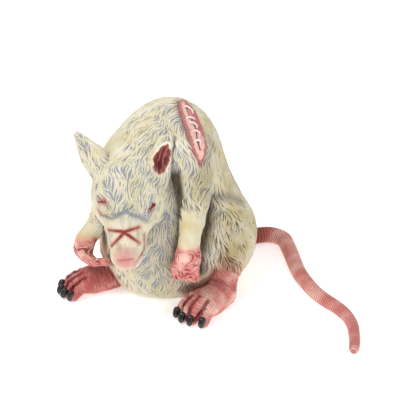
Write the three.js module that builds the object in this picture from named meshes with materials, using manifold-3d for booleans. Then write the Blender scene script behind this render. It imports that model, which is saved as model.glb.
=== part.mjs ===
// A seated rat figure, moulded in painted latex: hunched back, hanging head with a long muzzle, pointed
// cup ears, arms hanging to the belly, two broad hind feet with four clawed toes each, and a ringed tail
// on the floor.
// Millimetres, +Z up, the rat faces -Y and its left side is +X. The origin is under the body, on the floor.
import * as THREE from "three";
import { mergeVertices } from "three/addons/utils/BufferGeometryUtils.js";
import Module from "manifold-3d";

const wasm = await Module();
wasm.setup();

// Driving dimensions.
const bodyHeight = 178;
const seamGap = 0.3;
const footLength = 62;
const toeCount = 4;
const toeSpacing = 7.8;
const fingerCount = 4;
const tailRootRadius = 8.6;
const tailTipRadius = 4.3;
const tailLengths = 4;
const tailSides = 12;
const tailRings = 11;

// Cell sizes of the meshes: coarse on the big smooth forms, fine on the small ones.
const cell = {
  torso: 12,
  thigh: 10,
  limb: 10,
  head: 6,
  ear: 3.5,
  foot: 4.8,
  forearm: 5.5,
  hand: 4,
  wound: 4.5,
  stitch: 1.4,
  small: 2.8,
};

const radians = THREE.MathUtils.degToRad;
const point = (x, y, z) => new THREE.Vector3(x, y, z);

// A placement in space: pitch tips the nose down, roll leans to the left, yaw turns to the left.
function placed(at, pitch = 0, roll = 0, yaw = 0) {
  const turn = new THREE.Euler(radians(pitch), radians(roll), radians(yaw), "ZYX");
  return new THREE.Matrix4().makeRotationFromEuler(turn).setPosition(at);
}

// Fields. Each gives the distance in mm from a point to a form, negative inside it.
const local = point(0, 0, 0);

function egg(centre, radii, placement = null) {
  const toLocal = (placement ?? new THREE.Matrix4()).clone().invert();
  return (p) => {
    const q = local.copy(p).applyMatrix4(toLocal).sub(centre);
    const reach = Math.hypot(q.x / radii.x, q.y / radii.y, q.z / radii.z);
    const slope = Math.hypot(q.x / radii.x ** 2, q.y / radii.y ** 2, q.z / radii.z ** 2);
    return slope < 1e-9 ? -Math.min(radii.x, radii.y, radii.z) : (reach * (reach - 1)) / slope;
  };
}

// A chain of round cones through stations, each [x, y, z, radius].
function limb(stations, placement = null) {
  const at = stations.map(([x, y, z]) => {
    const p = point(x, y, z);
    return placement ? p.applyMatrix4(placement) : p;
  });
  const radii = stations.map((station) => station[3]);
  return (p) => {
    let nearest = Infinity;
    for (let i = 0; i + 1 < at.length; i++) {
      const along = at[i + 1].clone().sub(at[i]);
      const share = THREE.MathUtils.clamp(p.clone().sub(at[i]).dot(along) / along.lengthSq(), 0, 1);
      const gap = p.distanceTo(at[i].clone().addScaledVector(along, share));
      nearest = Math.min(nearest, gap - THREE.MathUtils.lerp(radii[i], radii[i + 1], share));
    }
    return nearest;
  };
}

function softLess(a, b, width) {
  const mix = Math.max(width - Math.abs(a - b), 0) / width;
  return Math.min(a, b) - (mix * mix * width) / 4;
}

// Joins forms with a fillet of about that width.
const blend = (width, ...fields) => (p) =>
  fields.map((field) => field(p)).reduce((a, b) => softLess(a, b, width));
// Takes a form out of another, with a rounded edge.
const carve = (width, body, tool) => (p) => -softLess(-body(p), tool(p), width);
// Nothing reaches under the floor, and what rests on it has a flat there.
const onFloor = (field, edge = 3) => (p) => -softLess(-field(p), p.z, edge);

// The closed mesh of a field inside a box: one vertex in each cell that the surface crosses, and one quad
// round each crossed edge of the grid.
function meshOf(field, low, high, size) {
  const counts = ["x", "y", "z"].map((axis) => Math.ceil((high[axis] - low[axis]) / size) + 1);
  const [nx, ny, nz] = counts;
  const index = (i, j, k) => i + nx * (j + ny * k);
  const corner = (i, j, k) => point(low.x + i * size, low.y + j * size, low.z + k * size);
  const values = new Float64Array(nx * ny * nz);
  for (let k = 0; k < nz; k++)
    for (let j = 0; j < ny; j++)
      for (let i = 0; i < nx; i++) {
        const onBorder = i * j * k === 0 || i === nx - 1 || j === ny - 1 || k === nz - 1;
        const value = field(corner(i, j, k));
        values[index(i, j, k)] = onBorder ? Math.max(value, size / 4) : value;
      }
  untangle(values, counts, index, size);

  const steps = [0, 1, 2, 3, 4, 5, 6, 7].map((n) => [n & 1, (n >> 1) & 1, n >> 2]);
  const edges = steps.flatMap((_, a) => [1, 2, 4].filter((bit) => !(a & bit)).map((bit) => [a, a | bit]));
  const vertexOf = new Map();
  const positions = [];
  for (let k = 0; k + 1 < nz; k++)
    for (let j = 0; j + 1 < ny; j++)
      for (let i = 0; i + 1 < nx; i++) {
        const sum = point(0, 0, 0);
        let crossings = 0;
        for (const [a, b] of edges) {
          const [p, q] = [steps[a], steps[b]].map(([x, y, z]) => [i + x, j + y, k + z]);
          const [va, vb] = [values[index(...p)], values[index(...q)]];
          if (va < 0 === vb < 0) continue;
          sum.add(corner(...p).lerp(corner(...q), THREE.MathUtils.clamp(va / (va - vb), 0.05, 0.95)));
          crossings++;
        }
        if (!crossings) continue;
        const vertex = settle(field, sum.divideScalar(crossings), corner(i, j, k), size);
        vertexOf.set(index(i, j, k), positions.length / 3);
        positions.push(vertex.x, vertex.y, vertex.z);
      }

  const triangles = [];
  const across = [[0, 1, 2], [1, 2, 0], [2, 0, 1]];
  for (let k = 0; k + 1 < nz; k++)
    for (let j = 0; j + 1 < ny; j++)
      for (let i = 0; i + 1 < nx; i++)
        for (const [axis, u, v] of across) {
          const here = [i, j, k];
          const next = [...here];
          next[axis]++;
          const inside = values[index(...here)] < 0;
          if (inside === values[index(...next)] < 0) continue;
          const ring = [[0, 0], [-1, 0], [-1, -1], [0, -1]].map(([du, dv]) => {
            const around = [...here];
            around[u] += du;
            around[v] += dv;
            return vertexOf.get(index(...around));
          });
          const [a, b, c, d] = inside ? ring : ring.reverse();
          const shorter = apart(positions, a, c) <= apart(positions, b, d);
          triangles.push(...(shorter ? [a, b, c, a, c, d] : [b, c, d, b, d, a]));
        }
  return new THREE.BufferGeometry()
    .setAttribute("position", new THREE.Float32BufferAttribute(positions, 3))
    .setIndex(triangles);
}

const apart = (positions, a, b) =>
  Math.hypot(...[0, 1, 2].map((axis) => positions[3 * a + axis] - positions[3 * b + axis]));

// Moves a vertex along the slope of the field onto its surface, without leaving its cell.
function settle(field, vertex, cellCorner, size) {
  const probe = size / 20;
  const farCorner = cellCorner.clone().addScalar(size);
  for (let pass = 0; pass < 3; pass++) {
    const value = field(vertex);
    const slope = point(
      field(point(vertex.x + probe, vertex.y, vertex.z)) - value,
      field(point(vertex.x, vertex.y + probe, vertex.z)) - value,
      field(point(vertex.x, vertex.y, vertex.z + probe)) - value,
    ).divideScalar(probe);
    vertex.addScaledVector(slope, -value / Math.max(slope.lengthSq(), 0.2)).clamp(cellCorner, farCorner);
  }
  return vertex;
}

// Where two corners of a cell touch only across a diagonal, the surface would meet itself along an edge or at
// a point. The corner nearest to the surface changes sides until no such place is left.
function untangle(values, [nx, ny, nz], index, size) {
  const inside = (n) => values[n] < 0;
  const flipNearest = (corners) => {
    const nearest = corners.reduce((a, b) => (Math.abs(values[a]) <= Math.abs(values[b]) ? a : b));
    values[nearest] = inside(nearest) ? size / 50 : -size / 50;
  };
  const most = 30;
  for (let pass = 0, tangled = true; tangled && pass < most; pass++) {
    tangled = false;
    for (let k = 1; k + 2 < nz; k++)
      for (let j = 1; j + 2 < ny; j++)
        for (let i = 1; i + 2 < nx; i++) {
          const at = (x, y, z) => index(i + x, j + y, k + z);
          const squares = [
            [at(0, 0, 0), at(1, 0, 0), at(1, 1, 0), at(0, 1, 0)],
            [at(0, 0, 0), at(1, 0, 0), at(1, 0, 1), at(0, 0, 1)],
            [at(0, 0, 0), at(0, 1, 0), at(0, 1, 1), at(0, 0, 1)],
          ];
          for (const square of squares) {
            const [a, b, c, d] = square.map(inside);
            if (a === c && b === d && a !== b) {
              flipNearest(square);
              tangled = true;
            }
          }
          const cube = [0, 1, 2, 3, 4, 5, 6, 7].map((n) => at(n & 1, (n >> 1) & 1, n >> 2));
          for (let n = 0; n < 4; n++) {
            const pair = [cube[n], cube[7 - n]];
            const rest = cube.filter((c) => !pair.includes(c));
            if (inside(pair[0]) === inside(pair[1]) && rest.every((c) => inside(c) !== inside(pair[0]))) {
              flipNearest(pair);
              tangled = true;
            }
          }
        }
  }
}

// Solids: closed meshes that are cut clear of their neighbours.
function solidOf(geometry) {
  const bare = new THREE.BufferGeometry().setAttribute("position", geometry.getAttribute("position"));
  bare.setIndex(geometry.index);
  const merged = mergeVertices(bare, 1e-3);
  return new wasm.Manifold(
    new wasm.Mesh({
      numProp: 3,
      vertProperties: merged.attributes.position.array,
      triVerts: new Uint32Array(merged.index.array),
    }),
  );
}

const largest = (solid) => solid.decompose().reduce((a, b) => (a.volume() >= b.volume() ? a : b));

// A form to be made: its field, the box round it and its cell size.
const form = (field, low, high, size) => ({ field, low: point(...low), high: point(...high), size });
const shape = ({ field, low, high, size }) => solidOf(meshOf(field, low, high, size));

// A neighbour's own shape with every vertex moved out by one seam gap.
function clearance({ field, low, high, size }) {
  const mesh = meshOf(field, low, high, size);
  mesh.computeVertexNormals();
  const { position, normal } = mesh.attributes;
  position.array.forEach((value, n) => (position.array[n] = value + normal.array[n] * seamGap));
  return solidOf(mesh);
}

function fitted(made, ...neighbours) {
  return largest(neighbours.reduce((solid, neighbour) => solid.subtract(clearance(neighbour)), shape(made)));
}

// Places.
const floorLow = -6;
const headPlace = placed(point(-12, -67, 142), 55, 0, 23);
const footPlace = {
  left: placed(point(69, -35, 0), 0, 0, -11),
  right: placed(point(-38, -48, 0), 0, 0, -35),
};
const sides = { left: 1, right: -1 };
const inHead = (x, y, z) => point(x, y, z).applyMatrix4(headPlace);

// The torso: a broad seat, the hunched back, a chest, and the thick neck that carries the hanging head.
const seat = egg(point(0, -1, 40), point(71, 82, 70));
const back = egg(point(-4, -6, bodyHeight - 73), point(51, 58, 73));
const chest = egg(point(-4, -34, 98), point(42, 36, 50));
const neck = limb([[-6, -32, 124, 34], [-8, -62, 126, 25]]);
const torsoField = onFloor(blend(30, seat, back, chest, neck), 8);
const torso = form(torsoField, [-96, -112, floorLow], [96, 104, 196], cell.torso);

// The thighs: rounded haunches folded against the torso.
const thighFields = {
  left: blend(14, egg(point(50, 10, 38), point(24, 42, 38)), limb([[56, 0, 40, 20], [66, -27, 31, 15]])),
  right: blend(14, egg(point(-49, 4, 38), point(23, 42, 38)), limb([[-53, -4, 40, 20], [-47, -36, 30, 15]])),
};

// A hind foot in its own place: the back of the heel at the origin, toes towards -y, sole on the floor.
const toeAside = (n) => (n - (toeCount - 1) / 2) * toeSpacing;
const toeReach = [0.93, 1, 1, 0.95];

function footField(side) {
  const place = footPlace[side];
  const instep = egg(point(0, -footLength * 0.42, 9), point(15, footLength * 0.4, 12), place);
  const heel = limb([[0, -9, 8.5, 10], [0, -footLength * 0.45, 9.5, 12]], place);
  const toes = toeReach.map((reach, n) => {
    const x = toeAside(n);
    const tip = footLength * reach;
    const knuckles = [
      [x * 0.7, -tip * 0.55, 12, 5.6],
      [x, -tip * 0.78, 11, 5],
      [x * 1.08, -tip * 0.93, 4.3, 4.7],
    ];
    return limb(knuckles, place);
  });
  return onFloor(blend(8, instep, heel, blend(1.5, ...toes)), 1.5);
}

const ankleField = {
  left: limb([[68, -45, 13, 12], [66, -34, 22, 13.5]]),
  right: limb([[-39, -57, 13, 11.5], [-44, -42, 28, 15]]),
};

// A claw: a short blunt horn that caps the toe and points down to the floor.
function clawField(side, n) {
  const tip = footLength * toeReach[n];
  const x = toeAside(n) * 1.08;
  return onFloor(limb([[x, -tip * 0.97, 7.8, 3.5], [x, -tip * 1.04, 3, 2.5]], footPlace[side]), 0.8);
}

// Arms: stations from the shoulder down, then the hand with its curled fingers.
const arms = {
  left: {
    upper: [[40, -42, 138, 15.5], [45, -56, 122, 16], [47, -62, 109, 15]],
    lower: [[47, -63, 108, 12.6], [50, -70, 88, 11.2], [50, -75.5, 74, 9.6]],
    palm: [49.5, -77, 59],
    palmRadii: [13, 11, 15],
    fingers: [[50, -84, 52, 4.6], [50, -85, 44, 4.4], [49, -77, 41, 3.6]],
    spread: [6, 0, 0.4],
  },
  right: {
    upper: [[-35, -40, 122, 15], [-39, -56, 98, 13], [-42, -62, 84, 12]],
    lower: [[-42, -62, 84, 10.8], [-50, -68, 68, 9.5], [-57.5, -75, 55, 8.4]],
    palm: [-58.5, -79.5, 47],
    palmRadii: [8.8, 9, 12.5],
    fingers: [[-55, -85, 41.5, 4.4], [-44, -86, 37.5, 4.2], [-32, -83, 39.5, 3.4]],
    spread: [0.8, -3.6, 2],
  },
};

function handField(side) {
  const { lower, palm, palmRadii, fingers, spread } = arms[side];
  const rays = Array.from({ length: fingerCount }, (_, n) => {
    const offset = n - (fingerCount - 1) / 2;
    return limb(fingers.map((joint) => joint.map((value, axis) => value + offset * (spread[axis] ?? 0))));
  });
  const wrist = limb([lower[2], [...palm, 8.5]]);
  return blend(4, egg(point(...palm), point(...palmRadii)), wrist, blend(1.5, ...rays));
}

// The head, in its own place: x to the left, the nose towards -y, the crown at the origin.
const skull = egg(point(0, -29, 0), point(31, 30, 25), headPlace);
const cheeks = [1, -1].map((side) => egg(point(16 * side, -41, -4), point(15, 20, 17), headPlace));
const brows = [1, -1].map((side) => limb([[4 * side, -49, 17, 5], [20 * side, -40, 18, 5.5]], headPlace));
const muzzle = limb([[0, -50, 2, 19.5], [0, -74, 0, 17], [0, -86, -1, 13.5]], headPlace);
const noseTip = egg(point(0, -92, -1), point(12.5, 8, 10), headPlace);
const jaw = limb([[0, -50, -14, 12], [0, -82, -12, 8]], headPlace);
const headField = blend(7, blend(12, skull, ...cheeks, muzzle), ...brows, noseTip, jaw);

// An ear: a pointed cup that opens outwards. Its places lie in the head's own place.
const ears = {
  left: { root: [23, -22, 5], tip: [36, 18, 9], opening: [0.75, -0.1, 0.66] },
  right: { root: [-24, -13, -2], tip: [-51, 23, -13], opening: [-0.45, -0.3, -0.85] },
};

function earField({ root, tip, opening }) {
  const [from, to] = [inHead(...root), inHead(...tip)];
  const out = inHead(...opening).sub(inHead(0, 0, 0)).normalize();
  const between = (share) => from.clone().lerp(to, share);
  const outer = limb([[...from, 12], [...between(0.4), 11], [...between(0.75), 6.5], [...to, 2.4]]);
  const cup = [[0.12, 8, 7], [0.45, 8, 6.8], [0.85, 4.2, 2]];
  const hollowAt = ([share, shift, radius]) => [...between(share).addScaledVector(out, shift), radius];
  const inner = limb(cup.map(hollowAt));
  return carve(1.5, outer, inner);
}

// The sewn wound: a raised spindle on the left of the back, along these places above the hide, each with the
// spindle's half width there, and the stitches across its middle, from one end of each to the other.
const woundRaise = 1.6;
const woundLine = [[5, -3, 177, 2.4], [13, -11, 174, 5.5], [21, -18, 168, 7], [28, -22.5, 161.5, 7.2]]
  .concat([[33, -26, 155, 7], [37, -30, 147.5, 6], [40, -34, 140, 4.4], [42, -36.5, 133.5, 2.4]]);
const stitchLines = [[[14, -14, 173], [21, -11, 169.5]], [[19.5, -20.5, 168.5], [24.5, -16.5, 165.5]]]
  .concat([[[24.5, -23.5, 164.5], [29.5, -18.5, 159.5]], [[28.5, -26.5, 159.5], [33.5, -22.5, 153.5]]])
  .concat([[[32.5, -29.5, 153.5], [36.5, -25, 148.5]]]);

// The nearest place on the torso's hide, moved out of it by that height.
function overHide([x, y, z], height) {
  const p = point(x, y, z);
  const step = 0.5;
  for (let pass = 0; pass < 6; pass++) {
    const value = torsoField(p);
    const slope = point(
      torsoField(point(p.x + step, p.y, p.z)) - value,
      torsoField(point(p.x, p.y + step, p.z)) - value,
      torsoField(point(p.x, p.y, p.z + step)) - value,
    ).divideScalar(step);
    p.addScaledVector(slope, (height - value) / slope.lengthSq());
  }
  return p;
}

const woundField = limb(
  woundLine.map(([x, y, z, width]) => [...overHide([x, y, z], woundRaise - width), width]),
);
const stitchField = (ends) => limb(ends.map((end) => [...overHide(end, woundRaise + 1), 1.2]));

// The tail: a thick tapered tube that leaves the seat behind and lies on the floor in a long bend to the
// left.
const tailRoute = new THREE.CatmullRomCurve3(
  [[28, 62], [47, 84], [61, 94.5], [76, 92], [88, 76.5], [99, 59], [108, 44], [119, 27.5], [130, 15]]
    .concat([[144, 1], [158, -9], [170, -15.5], [183, -25.5], [192.5, -38], [199, -52.5], [204, -67.5]])
    .concat([[207, -79.5]])
    .map(([x, y], n) => point(x, y, n ? tailRadius(n / 16) - 0.6 : 16)),
  false,
  "centripetal",
);

function tailRadius(share) {
  return THREE.MathUtils.lerp(tailRootRadius, tailTipRadius, share ** 1.4);
}

// One length of the tail as rings joined side by side, flat where it lies on the floor.
function tailLength(number) {
  const halfGap = seamGap / 2 / tailRoute.getLength();
  const last = number + 1 === tailLengths;
  const start = number / tailLengths + (number ? halfGap : 0);
  const end = (number + 1) / tailLengths - (last ? 0 : halfGap);
  const positions = [];
  const triangles = [];
  for (let ring = 0; ring < tailRings; ring++) {
    const share = THREE.MathUtils.lerp(start, end, ring / (tailRings - 1));
    const centre = tailRoute.getPointAt(share);
    const ahead = tailRoute.getTangentAt(share);
    const sideways = point(0, 0, 1).cross(ahead).normalize();
    const upwards = ahead.clone().cross(sideways);
    const toTip = (1 - share) * tailRoute.getLength();
    const rounding = Math.min(1, 0.25 + Math.sqrt(toTip / tailTipRadius / 2));
    for (let n = 0; n < tailSides; n++) {
      const angle = (2 * Math.PI * n) / tailSides;
      const reach = tailRadius(share) * rounding;
      const vertex = centre.clone().addScaledVector(sideways, Math.cos(angle) * reach);
      vertex.addScaledVector(upwards, Math.sin(angle) * reach);
      positions.push(vertex.x, vertex.y, Math.max(vertex.z, 0));
    }
  }
  for (let ring = 0; ring + 1 < tailRings; ring++)
    for (let n = 0; n < tailSides; n++) {
      const [a, b] = [ring * tailSides + n, ring * tailSides + ((n + 1) % tailSides)];
      triangles.push(a, b, b + tailSides, a, b + tailSides, a + tailSides);
    }
  const lastRing = (tailRings - 1) * tailSides;
  for (let n = 1; n + 1 < tailSides; n++) {
    triangles.push(0, n + 1, n);
    triangles.push(lastRing, lastRing + n, lastRing + n + 1);
  }
  return new THREE.BufferGeometry()
    .setAttribute("position", new THREE.Float32BufferAttribute(positions, 3))
    .setIndex(triangles);
}

// Materials, as the figure is painted.
const paint = (color, roughness) => new THREE.MeshStandardMaterial({ color, roughness, metalness: 0 });
const furPaint = paint("#d8d0b4", 0.72);
const skinPaint = paint("#c98a80", 0.6);
const tailPaint = paint("#cf8d86", 0.55);
const clawPaint = paint("#17161a", 0.3);
const eyePaint = paint("#a01216", 0.22);
const woundPaint = paint("#cc9086", 0.5);
const stitchPaint = paint("#e4e6ea", 0.4);

const rat = new THREE.Group();

// A node's mesh, set at its root so that its geometry is measured from there.
function addNode(name, solid, root, material, group = rat) {
  const made = solid.getMesh();
  const positions = new Float32Array(made.numVert * 3);
  for (let n = 0; n < made.numVert; n++)
    positions.set(made.vertProperties.subarray(n * made.numProp, n * made.numProp + 3), n * 3);
  const geometry = new THREE.BufferGeometry()
    .setAttribute("position", new THREE.BufferAttribute(positions, 3))
    .setIndex(new THREE.BufferAttribute(made.triVerts, 1));
  geometry.translate(-root.x, -root.y, -root.z).computeVertexNormals();
  const mesh = new THREE.Mesh(geometry, material);
  mesh.name = name;
  mesh.position.copy(root);
  group.add(mesh);
  return mesh;
}

function addGroup(name) {
  const group = new THREE.Group();
  group.name = name;
  rat.add(group);
  return group;
}

addNode("torso", shape(torso), point(0, 0, 0), furPaint);

const headGroup = addGroup("head_group");
const head = form(blend(5, headField, torsoField), [-70, -152, 28], [50, -44, 168], cell.head);
addNode("head", fitted(head, torso), inHead(0, 0, 0), furPaint, headGroup);

const armSolids = [];
for (const side of Object.keys(sides)) {
  const sign = sides[side];
  const flip = ([x, ...rest], [otherX]) => [sign > 0 ? x : -otherX, ...rest];
  const mirrored = (low, high) => [flip(low, high), flip(high, low)];

  const [earRoot, earTip] = [inHead(...ears[side].root), inHead(...ears[side].tip)];
  const earBox = new THREE.Box3().setFromPoints([earRoot, earTip]).expandByScalar(17);
  const ear = form(earField(ears[side]), earBox.min, earBox.max, cell.ear);
  addNode("ear_" + side, fitted(ear, head, torso), earRoot, furPaint, headGroup);

  const eyeAt = inHead(22 * sign, -47, 18);
  const eyeLine = [[17 * sign, -51, 18, 2.4], [22 * sign, -47, 18, 3.2], [26 * sign, -42, 15.5, 2.4]];
  const slit = limb(eyeLine, headPlace);
  const eye = form(slit, eyeAt.clone().subScalar(12), eyeAt.clone().addScalar(12), cell.small);
  addNode("eye_" + side, fitted(eye, head), eyeAt, eyePaint, headGroup);

  const legGroup = addGroup("leg_group_" + side);
  const thighField = onFloor(blend(12, thighFields[side], torsoField), 8);
  const thigh = form(thighField, ...mirrored([16, -70, floorLow], [96, 84, 112]), cell.thigh);
  addNode("thigh_" + side, fitted(thigh, torso), point(46 * sign, 0, 50), furPaint, legGroup);

  const heel = point(0, 0, 0).applyMatrix4(footPlace[side]);
  const footWhole = onFloor(blend(10, footField(side), ankleField[side]), 2);
  const footLow = heel.clone().add(point(-60, -78, floorLow));
  const foot = form(footWhole, footLow, heel.clone().add(point(34, 30, 52)), cell.foot);
  addNode("foot_" + side, fitted(foot, thigh, torso), heel, skinPaint, legGroup);

  for (let n = 0; n < toeCount; n++) {
    const at = point(toeAside(n), -footLength * toeReach[n], 6).applyMatrix4(footPlace[side]);
    const claw = form(clawField(side, n), at.clone().subScalar(10), at.clone().addScalar(10), cell.small);
    addNode(`claw_${side}_${n + 1}`, fitted(claw, foot), at, clawPaint, legGroup);
  }

  const armGroup = addGroup("arm_group_" + side);
  const { upper, lower, palm } = arms[side];
  const armBox = (stations, margin) =>
    new THREE.Box3().setFromPoints(stations.map(([x, y, z]) => point(x, y, z))).expandByScalar(margin);
  const upperBox = armBox(upper, 30);
  const upperArm = form(blend(6, limb(upper), torsoField), upperBox.min, upperBox.max, cell.limb);
  addNode("upper_arm_" + side, fitted(upperArm, torso, thigh, head), point(...upper[0]), furPaint, armGroup);

  armSolids.push(upperArm);

  const lowerBox = armBox(lower, 18);
  const forearm = form(limb(lower), lowerBox.min, lowerBox.max, cell.forearm);
  const forearmSolid = fitted(forearm, upperArm, torso, thigh, head);
  addNode("forearm_" + side, forearmSolid, point(...lower[0]), furPaint, armGroup);

  const handBox = armBox([lower[2], palm, ...arms[side].fingers], 22);
  const hand = form(handField(side), handBox.min, handBox.max, cell.hand);
  const handSolid = fitted(hand, forearm, torso, thigh, foot, head);
  addNode("hand_" + side, handSolid, point(...palm), skinPaint, armGroup);
}

const woundGroup = addGroup("wound_group");
const wound = form(woundField, [-6, -50, 120], [56, 10, 186], cell.wound);
addNode("wound", fitted(wound, torso, ...armSolids), point(28, -22.5, 161.5), woundPaint, woundGroup);
stitchLines.forEach((ends, n) => {
  const box = new THREE.Box3().setFromPoints(ends.map(([x, y, z]) => point(x, y, z))).expandByScalar(8);
  const stitch = form(stitchField(ends), box.min, box.max, cell.stitch);
  addNode(`stitch_${n + 1}`, fitted(stitch, wound, torso), point(...ends[0]), stitchPaint, woundGroup);
});

const tailGroup = addGroup("tail_group");
for (let n = 0; n < tailLengths; n++) {
  const length = solidOf(tailLength(n));
  const root = tailRoute.getPointAt(n / tailLengths);
  const tailSolid = n ? length : largest(length.subtract(clearance(torso)));
  addNode("tail_" + (n + 1), tailSolid, root, tailPaint, tailGroup);
}

export default rat;
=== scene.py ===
import math

import bpy
import numpy as np
from mathutils import Euler, Matrix, Vector


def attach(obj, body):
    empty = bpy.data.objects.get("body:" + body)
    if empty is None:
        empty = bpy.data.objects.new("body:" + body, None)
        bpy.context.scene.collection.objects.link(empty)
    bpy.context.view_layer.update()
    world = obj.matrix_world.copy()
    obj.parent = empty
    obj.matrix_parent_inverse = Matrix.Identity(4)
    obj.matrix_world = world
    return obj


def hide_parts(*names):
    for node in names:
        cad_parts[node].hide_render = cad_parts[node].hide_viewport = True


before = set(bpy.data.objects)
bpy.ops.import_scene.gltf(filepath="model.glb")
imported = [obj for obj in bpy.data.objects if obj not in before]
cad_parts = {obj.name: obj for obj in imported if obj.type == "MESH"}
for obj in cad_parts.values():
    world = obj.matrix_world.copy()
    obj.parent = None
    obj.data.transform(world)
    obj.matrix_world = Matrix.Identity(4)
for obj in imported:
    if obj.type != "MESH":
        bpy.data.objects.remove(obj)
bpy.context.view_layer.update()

mm = 0.001  # forms are worked out in millimetres and turned to metres when a mesh is made
rng = np.random.default_rng(7)


# small helpers for forms: a field gives the distance to a form, negative inside it


def placed(at, pitch=0.0, roll=0.0, yaw=0.0):
    turn = Euler((math.radians(pitch), math.radians(roll), math.radians(yaw)), "XYZ").to_matrix().to_4x4()
    return Matrix.Translation(at) @ turn


def toLocal(points, place):
    inverse = np.array(place.inverted())
    return points @ inverse[:3, :3].T + inverse[:3, 3]


def toWorld(points, place):
    matrix = np.array(place)
    return np.atleast_2d(points) @ matrix[:3, :3].T + matrix[:3, 3]


def egg(centre, radii, place=None):
    centre, radii = np.array(centre, float), np.array(radii, float)

    def field(points):
        q = (toLocal(points, place) if place else points) - centre
        reach = np.sqrt(((q / radii) ** 2).sum(1))
        slope = np.sqrt(((q / radii**2) ** 2).sum(1))
        return np.where(slope < 1e-9, -radii.min(), reach * (reach - 1) / np.maximum(slope, 1e-9))

    return field


def limb(stations, place=None):
    stations = np.array(stations, float)
    at, radii = stations[:, :3], stations[:, 3]

    def field(points):
        q = toLocal(points, place) if place else points
        nearest = np.full(len(q), np.inf)
        for a, b, ra, rb in zip(at[:-1], at[1:], radii[:-1], radii[1:]):
            along = b - a
            share = clamp((q - a) @ along / (along @ along))
            gap = np.linalg.norm(q - a - share[:, None] * along, axis=1)
            nearest = np.minimum(nearest, gap - (ra + (rb - ra) * share))
        return nearest

    return field


def limbAlong(path, radii):
    return limb(np.column_stack([path, radii]))


def softLess(a, b, width):
    mix = np.maximum(width - np.abs(a - b), 0) / width
    return np.minimum(a, b) - mix * mix * width / 4


def blend(width, *fields):
    def field(points):
        value = fields[0](points)
        for other in fields[1:]:
            value = softLess(value, other(points), width)
        return value

    return field


def carve(width, body, tool):
    return lambda points: -softLess(-body(points), tool(points), width)


def onFloor(body, edge=3.0):
    return lambda points: -softLess(-body(points), points[:, 2], edge)


def nearPath(points, path, width):  # 1 on a line, fading to 0 beside it
    line = limb([[*p, 0.0] for p in path])
    return np.exp(-((line(points) / width) ** 2))


def grooved(body, *cuts):  # each cut is a function that gives how deep the surface is pressed in there
    def field(points):
        value = body(points)
        near = np.abs(value) < 10  # mm, more than the deepest cut
        if near.any():
            close = points[near]
            value[near] += sum(cut(close) for cut in cuts)
        return value

    return field


def lineCut(path, width, depth):  # a stroke pressed in along a path
    return lambda points: depth * nearPath(points, path, width)


def slopeOf(field, points, step=0.4):
    value = field(points)
    slope = np.empty_like(points)
    for axis in range(3):
        moved = points.copy()
        moved[:, axis] += step
        slope[:, axis] = (field(moved) - value) / step
    return value, slope


def ontoSurface(field, points, height=0.0, passes=4):
    points = points.copy()
    for _ in range(passes):
        value, slope = slopeOf(field, points)
        points += slope * ((height - value) / np.maximum((slope**2).sum(1), 0.2))[:, None]
    return points


def clamp(values):
    return np.clip(values, 0, 1)


def gapTo(points, place):
    return np.linalg.norm(points - place, axis=1)


def unit(vectors):
    return vectors / np.maximum(np.linalg.norm(vectors, axis=1), 1e-9)[:, None]


def normalsOf(field, points):
    return unit(slopeOf(field, points)[1])


def waves(points, size, seed):  # smooth made-up unevenness between about -1 and 1, with lumps of that size
    turn = np.random.default_rng(seed)
    total = np.zeros(len(points))
    for _ in range(6):
        direction = turn.normal(size=3)
        direction /= np.linalg.norm(direction)
        rate = 2 * math.pi / size * turn.uniform(0.6, 1.5)
        total += np.sin(points @ direction * rate + turn.uniform(0, 6.3))
    return total / 3.0


def fieldOnGrid(field, low, counts, size):  # read on a coarse grid first, and finely only near the surface
    coarse = 4
    values = np.full(counts, 1e3)
    middles = [low[a] + size * (np.arange(0, counts[a], coarse) + coarse / 2) for a in range(3)]
    grid = np.stack(np.meshgrid(*middles, indexing="ij"), -1)
    rough = field(grid.reshape(-1, 3)).reshape(grid.shape[:3])
    reach = size * coarse * 1.8 + 2.5
    for block in np.argwhere(rough < -reach) * coarse:
        values[tuple(slice(at, at + coarse) for at in block)] = -1e3
    fine = np.argwhere(np.abs(rough) <= reach) * coarse
    offsets = np.stack(np.meshgrid(*[np.arange(coarse)] * 3, indexing="ij"), -1).reshape(-1, 3)
    cells = (fine[:, None] + offsets[None]).reshape(-1, 3)
    cells = cells[(cells < counts).all(1)]
    atOnce = 400000  # cells, so that memory stays small
    for start in range(0, len(cells), atOnce):
        part = cells[start : start + atOnce]
        values[tuple(part.T)] = field(low + size * part)
    for axis in range(3):
        for end in (0, -1):  # a form that reaches the box's face is closed there
            border = [slice(None)] * 3
            border[axis] = end
            values[tuple(border)] = np.maximum(values[tuple(border)], size / 4)
    return values


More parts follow.
